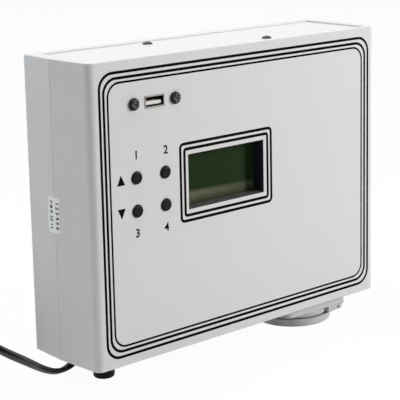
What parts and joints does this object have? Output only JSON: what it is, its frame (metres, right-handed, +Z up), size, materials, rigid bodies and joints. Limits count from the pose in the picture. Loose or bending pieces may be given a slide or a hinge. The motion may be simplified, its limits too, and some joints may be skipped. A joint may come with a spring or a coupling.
{
  "type": "programmable prayer-time clock",
  "caption": "Flat white wall box with a display, four keys and a data socket on its face, and a lidded mains outlet, fuse and mains lead below.",
  "frame": {"origin": "middle of the bottom of the box's bounding box, without its mains lead, on the table that it stands on", "axes": "+X to the right as seen from the front, +Y from the face to the back, +Z up"},
  "size_m": [0.3097, 0.1666, 0.19],
  "materials": {
    "case_white": "satin white moulding, finely textured",
    "plate_white": "white powder coat",
    "outlet_grey": "light grey moulding",
    "gasket_grey": "soft grey sheet",
    "black_plastic": "black moulding",
    "black_rubber": "black rubber",
    "black_steel": "blackened screws",
    "zinc_steel": "zinc plated",
    "bright_steel": "bright nickel",
    "brass": "brass",
    "copper": "enamelled copper and tape",
    "board_green": "green board",
    "display_glass": "dark green display glass",
    "core_steel": "laminated core",
    "relay_blue": "blue case",
    "capacitor_black": "sleeved cans",
    "aluminium": "anodised",
    "terminal_green": "green",
    "fuse_glass": "glass tube with metal ends",
    "paper_white": "blank seal paper",
    "cord_black": "black PVC sheath",
    "usb_white": "white tongue"
  },
  "bodies": {
    "case": {"board_headers": "black_plastic", "board_screws": "zinc_steel", "bottom_plate": "plate_white", "bottom_plate_screws": "black_steel", "capacitors": "capacitor_black", "case_screws": "zinc_steel", "coin_cell": "bright_steel", "coin_cell_holder": "black_plastic", "cord_bushing": "black_rubber", "cord_coil": "cord_black", "cord_tail": "cord_black", "cord_tie": "black_plastic", "display_bezel": "black_plastic", "display_board": "board_green", "display_glass": "display_glass", "display_spacer": "black_plastic", "earth_clips": "bright_steel", "front_cover": "case_white", "fuse_holder": "black_plastic", "fuse_nut": "black_plastic", "heat_sink": "aluminium", "inner_leads": "cord_black", "key_board": "board_green", "key_switches": "black_plastic", "lid_pin": "zinc_steel", "lid_spring": "zinc_steel", "main_board": "board_green", "mains_cord": "cord_black", "microchips": "black_plastic", "outlet_base": "outlet_grey", "outlet_cup": "outlet_grey", "outlet_flange": "outlet_grey", "outlet_gasket": "gasket_grey", "outlet_screws": "zinc_steel", "outlet_sockets": "brass", "plug_body": "black_plastic", "plug_pins": "bright_steel", "rear_tray": "case_white", "relay": "relay_blue", "seal_label": "paper_white", "terminal_block": "terminal_green", "top_plate": "plate_white", "top_plate_screws": "black_steel", "transformer_brackets": "zinc_steel", "transformer_core": "core_steel", "transformer_screws": "zinc_steel", "transformer_winding": "copper", "usb_body": "black_plastic", "usb_contacts": "brass", "usb_screws": "black_steel", "usb_shell": "bright_steel", "usb_tongue": "usb_white", "voltage_regulator": "black_plastic"},
    "key_up_body": {"key_up": "black_plastic"},
    "key_down_body": {"key_down": "black_plastic"},
    "key_menu_body": {"key_menu": "black_plastic"},
    "key_enter_body": {"key_enter": "black_plastic"},
    "lid_body": {"outlet_lid": "outlet_grey"},
    "fuse_cap_body": {"fuse_cap": "black_plastic", "fuse": "fuse_glass"}
  },
  "joints": [
    {"name": "key_up_press", "type": "slide", "parent": "case", "child": "key_up_body", "axis": [0, 1, 0], "range_m": [0, 0.0005], "stiffness_N_per_m": 400, "springref_m": -0.001},
    {"name": "key_down_press", "type": "slide", "parent": "case", "child": "key_down_body", "axis": [0, 1, 0], "range_m": [0, 0.0005], "stiffness_N_per_m": 400, "springref_m": -0.001},
    {"name": "key_menu_press", "type": "slide", "parent": "case", "child": "key_menu_body", "axis": [0, 1, 0], "range_m": [0, 0.0005], "stiffness_N_per_m": 400, "springref_m": -0.001},
    {"name": "key_enter_press", "type": "slide", "parent": "case", "child": "key_enter_body", "axis": [0, 1, 0], "range_m": [0, 0.0005], "stiffness_N_per_m": 400, "springref_m": -0.001},
    {"name": "lid_swing", "type": "hinge", "parent": "case", "child": "lid_body", "pos_m": [0.0839, -0.00145, 0.0072], "axis": [0, -1, 0], "range_deg": [0, 90], "stiffness_Nm_per_rad": 0.02, "springref_deg": -28.65},
    {"name": "fuse_cap_turn", "type": "hinge", "parent": "case", "child": "fuse_cap_body", "pos_m": [-0.0909, -0.00295, 0.0142], "axis": [0, 0, 1], "range_deg": [0, 60]}
  ]
}
